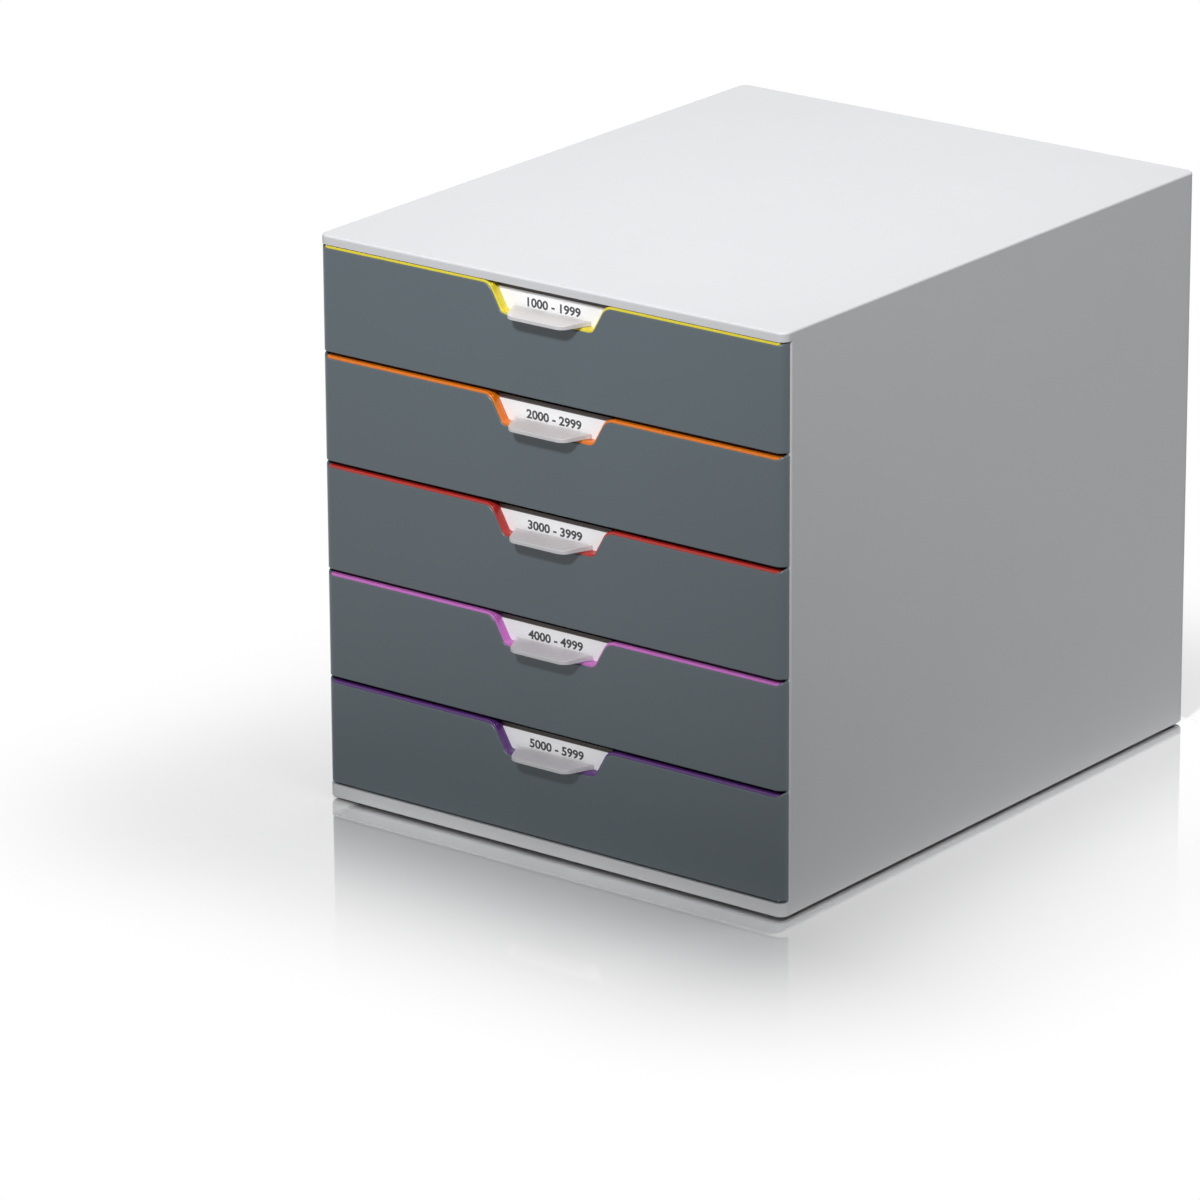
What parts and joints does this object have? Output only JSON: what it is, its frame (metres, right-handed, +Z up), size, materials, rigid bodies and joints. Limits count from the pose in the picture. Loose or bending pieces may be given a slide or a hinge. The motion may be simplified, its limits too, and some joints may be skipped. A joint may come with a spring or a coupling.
{
  "type": "desktop drawer organizer",
  "caption": "Closed desktop organizer with sliding drawers for A4 and C4 papers, grey case, blue-grey fronts, colour trims and clear label windows with grips.",
  "frame": {"origin": "middle of the underside of the whole box, on the surface that it stands on", "axes": "+X to the right seen from the front, +Y from the drawer fronts to the back, +Z up"},
  "size_m": [0.28, 0.356, 0.292],
  "materials": {
    "case_plastic": "fine matt texture",
    "front_plastic": "satin, blue-grey",
    "tray_plastic": "fine matt texture, anthracite",
    "yellow_plastic": "smooth",
    "orange_plastic": "smooth",
    "red_plastic": "smooth",
    "pink_plastic": "smooth",
    "violet_plastic": "smooth",
    "card": "matt white card",
    "frosted_clear_plastic": "clear window, frosted grip",
    "foot_rubber": "matt"
  },
  "bodies": {
    "case": {"base_plate": "case_plastic", "top_cover": "case_plastic", "left_side_panel": "case_plastic", "right_side_panel": "case_plastic", "rear_panel": "case_plastic", "rubber_foot_front_left": "foot_rubber", "rubber_foot_back_left": "foot_rubber", "rubber_foot_front_right": "foot_rubber", "rubber_foot_back_right": "foot_rubber"},
    "drawer_1": {"drawer_tray_1": "tray_plastic", "front_panel_1": "front_plastic", "colour_profile_1": "yellow_plastic", "label_card_1": "card", "pull_tab_1": "frosted_clear_plastic"},
    "drawer_2": {"drawer_tray_2": "tray_plastic", "front_panel_2": "front_plastic", "colour_profile_2": "orange_plastic", "label_card_2": "card", "pull_tab_2": "frosted_clear_plastic"},
    "drawer_3": {"drawer_tray_3": "tray_plastic", "front_panel_3": "front_plastic", "colour_profile_3": "red_plastic", "label_card_3": "card", "pull_tab_3": "frosted_clear_plastic"},
    "drawer_4": {"drawer_tray_4": "tray_plastic", "front_panel_4": "front_plastic", "colour_profile_4": "pink_plastic", "label_card_4": "card", "pull_tab_4": "frosted_clear_plastic"},
    "drawer_5": {"drawer_tray_5": "tray_plastic", "front_panel_5": "front_plastic", "colour_profile_5": "violet_plastic", "label_card_5": "card", "pull_tab_5": "frosted_clear_plastic"}
  },
  "joints": [
    {"name": "drawer_slide_1", "type": "slide", "parent": "case", "child": "drawer_1", "axis": [0, -1, 0], "range_m": [0, 0.25]},
    {"name": "drawer_slide_2", "type": "slide", "parent": "case", "child": "drawer_2", "axis": [0, -1, 0], "range_m": [0, 0.25]},
    {"name": "drawer_slide_3", "type": "slide", "parent": "case", "child": "drawer_3", "axis": [0, -1, 0], "range_m": [0, 0.25]},
    {"name": "drawer_slide_4", "type": "slide", "parent": "case", "child": "drawer_4", "axis": [0, -1, 0], "range_m": [0, 0.25]},
    {"name": "drawer_slide_5", "type": "slide", "parent": "case", "child": "drawer_5", "axis": [0, -1, 0], "range_m": [0, 0.25]}
  ]
}
